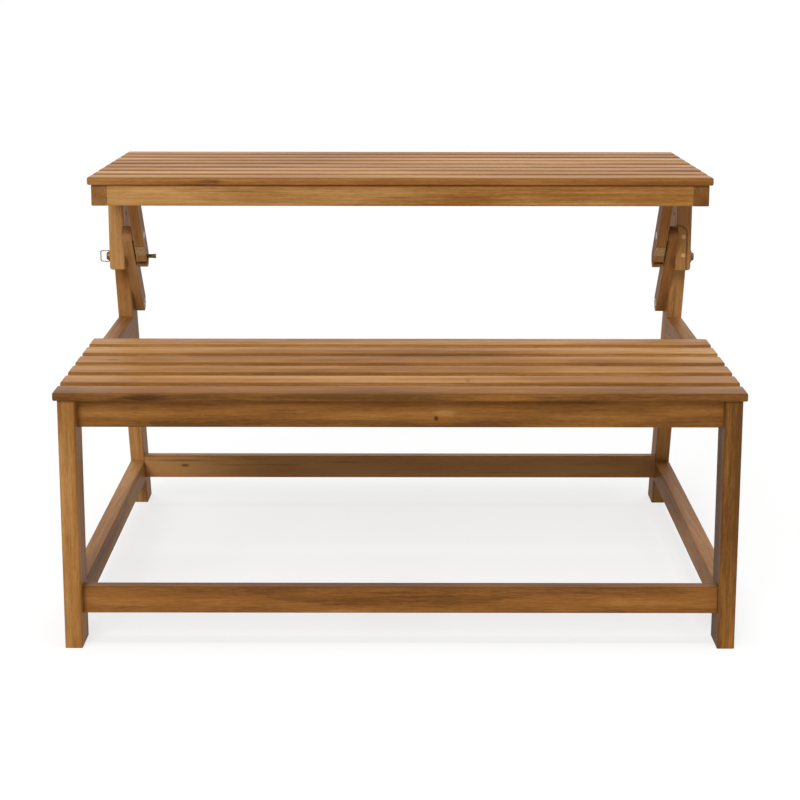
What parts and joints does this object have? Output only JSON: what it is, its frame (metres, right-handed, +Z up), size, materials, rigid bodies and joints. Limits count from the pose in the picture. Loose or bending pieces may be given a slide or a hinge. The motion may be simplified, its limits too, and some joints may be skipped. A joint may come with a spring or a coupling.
{
  "type": "convertible picnic table bench",
  "caption": "Slatted acacia garden bench whose rear table top turns on two pivots to become a backrest, locked by brass pull pins.",
  "frame": {"origin": "on the floor, in the middle of the length and of the depth of the object", "axes": "+X to the sitter's left as seen from the front, right in the picture; +Y from the seat's front edge to the table's rear edge; +Z up"},
  "size_m": [1.2213, 1.0965, 0.7835],
  "materials": {
    "acacia_slat": "oiled acacia boards of seat and table top, satin",
    "acacia_apron": "oiled acacia boards under the table top, satin",
    "acacia_rail": "oiled acacia rails and stretchers, satin",
    "acacia_strut": "oiled acacia struts, darker heartwood, satin",
    "acacia_leg": "oiled acacia legs, blocks and braces, satin",
    "beech_plug": "pale hardwood plugs, sanded flush",
    "brass": "brass-plated steel, slightly dull",
    "zinc_steel": "zinc-plated steel"
  },
  "bodies": {
    "seat_frame": {"block_plugs": "beech_plug", "block_screws": "zinc_steel", "brace_bolts": "zinc_steel", "brace_left": "acacia_leg", "brace_right": "acacia_leg", "front_leg_left": "acacia_leg", "front_leg_right": "acacia_leg", "front_stretcher": "acacia_rail", "lower_side_rail_left": "acacia_rail", "lower_side_rail_right": "acacia_rail", "pivot_block_left": "acacia_leg", "pivot_block_right": "acacia_leg", "pivot_bolts": "zinc_steel", "pivot_washers": "zinc_steel", "rear_leg_left": "acacia_leg", "rear_leg_right": "acacia_leg", "rear_stretcher": "acacia_rail", "seat_centre_batten": "acacia_rail", "seat_front_apron": "acacia_rail", "seat_rear_rail": "acacia_rail", "seat_side_rail_left": "acacia_rail", "seat_side_rail_right": "acacia_rail", "seat_slat_1": "acacia_slat", "seat_slat_2": "acacia_slat", "seat_slat_3": "acacia_slat", "seat_slat_4": "acacia_slat", "seat_slat_5": "acacia_slat", "seat_slat_6": "acacia_slat"},
    "table_top": {"plate_screws": "brass", "strut_cleat_left": "acacia_strut", "strut_cleat_right": "acacia_strut", "strut_left": "acacia_strut", "strut_plate_left": "brass", "strut_plate_right": "brass", "strut_right": "acacia_strut", "table_centre_batten": "acacia_apron", "table_front_apron": "acacia_apron", "table_rear_apron": "acacia_apron", "table_side_member_left": "acacia_apron", "table_side_member_right": "acacia_apron", "table_slat_1": "acacia_slat", "table_slat_2": "acacia_slat", "table_slat_3": "acacia_slat", "table_slat_4": "acacia_slat", "table_slat_5": "acacia_slat", "table_slat_6": "acacia_slat", "table_slat_7": "acacia_slat", "table_slat_8": "acacia_slat"},
    "lock_pin_left": {"lock_pin_left": "brass"},
    "lock_pin_right": {"lock_pin_right": "brass"},
    "pull_ring_left": {"pull_ring_left": "brass"},
    "pull_ring_right": {"pull_ring_right": "brass"}
  },
  "joints": [
    {"name": "top_flip", "type": "hinge", "parent": "seat_frame", "child": "table_top", "pos_m": [0, 0.145, 0.642], "axis": [1, 0, 0], "range_deg": [0, 75]},
    {"name": "left_pin_pull", "type": "slide", "parent": "seat_frame", "child": "lock_pin_left", "axis": [-1, 0, 0], "range_m": [0, 0.1]},
    {"name": "right_pin_pull", "type": "slide", "parent": "seat_frame", "child": "lock_pin_right", "axis": [1, 0, 0], "range_m": [0, 0.08]},
    {"name": "left_ring_swing", "type": "hinge", "parent": "lock_pin_left", "child": "pull_ring_left", "pos_m": [-0.5989, 0.19591, 0.59109], "axis": [0, 0, 1], "range_deg": [-90, 90]},
    {"name": "right_ring_swing", "type": "hinge", "parent": "lock_pin_right", "child": "pull_ring_right", "pos_m": [0.5989, 0.19591, 0.59109], "axis": [0, 0, 1], "range_deg": [-180, 0]}
  ]
}
